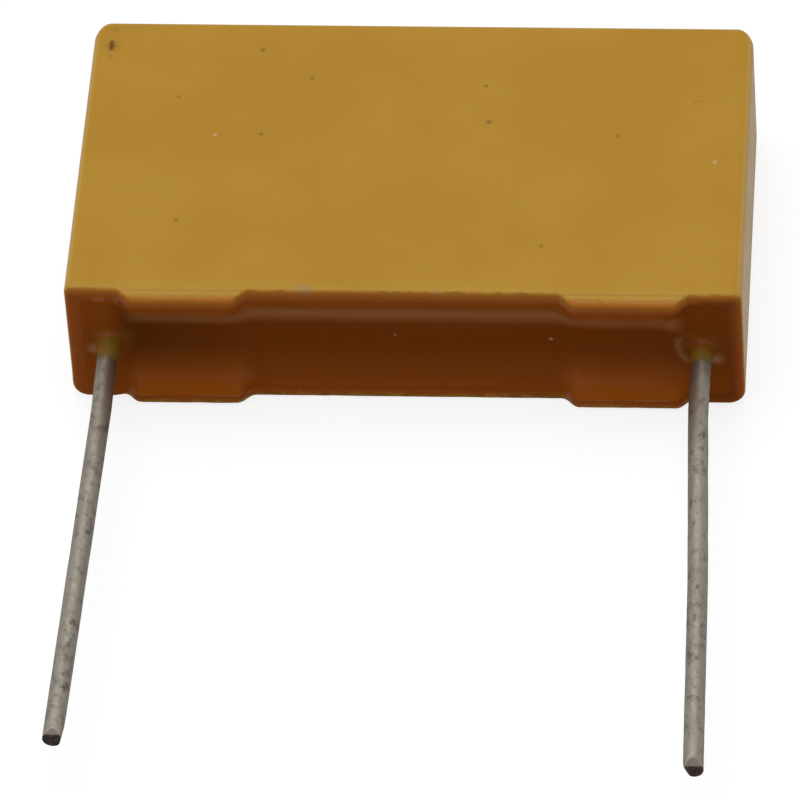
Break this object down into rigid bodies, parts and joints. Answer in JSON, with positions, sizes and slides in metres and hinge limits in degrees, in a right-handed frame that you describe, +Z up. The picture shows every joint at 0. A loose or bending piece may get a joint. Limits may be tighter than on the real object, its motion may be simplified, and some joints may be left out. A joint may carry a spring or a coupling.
{
  "type": "safety capacitor",
  "caption": "Potted film capacitor in a flat moulded cup, with two round wire leads splayed slightly apart.",
  "frame": {"origin": "centre of the large back face that it lies on, midway between the closed end and the plane of the feet", "axes": "X from lead to lead, -Y along the leads and out of the open end, +Y to the closed end, +Z up out of the large front face"},
  "size_m": [0.026, 0.0357, 0.006],
  "materials": {
    "case": "yellow ochre moulded polyester, satin",
    "resin": "amber brown potting resin, glossy",
    "film": "metallised polypropylene film",
    "sprayed_metal": "rough sprayed zinc",
    "solder": "solder",
    "wire": "dull tinned copper-clad wire"
  },
  "bodies": {
    "root": {"case": "case", "resin_fill": "resin", "film_winding": "film", "metal_spray_left": "sprayed_metal", "metal_spray_right": "sprayed_metal", "solder_joint_left": "solder", "solder_joint_right": "solder", "lead_left": "wire", "lead_right": "wire"}
  },
  "joints": []
}
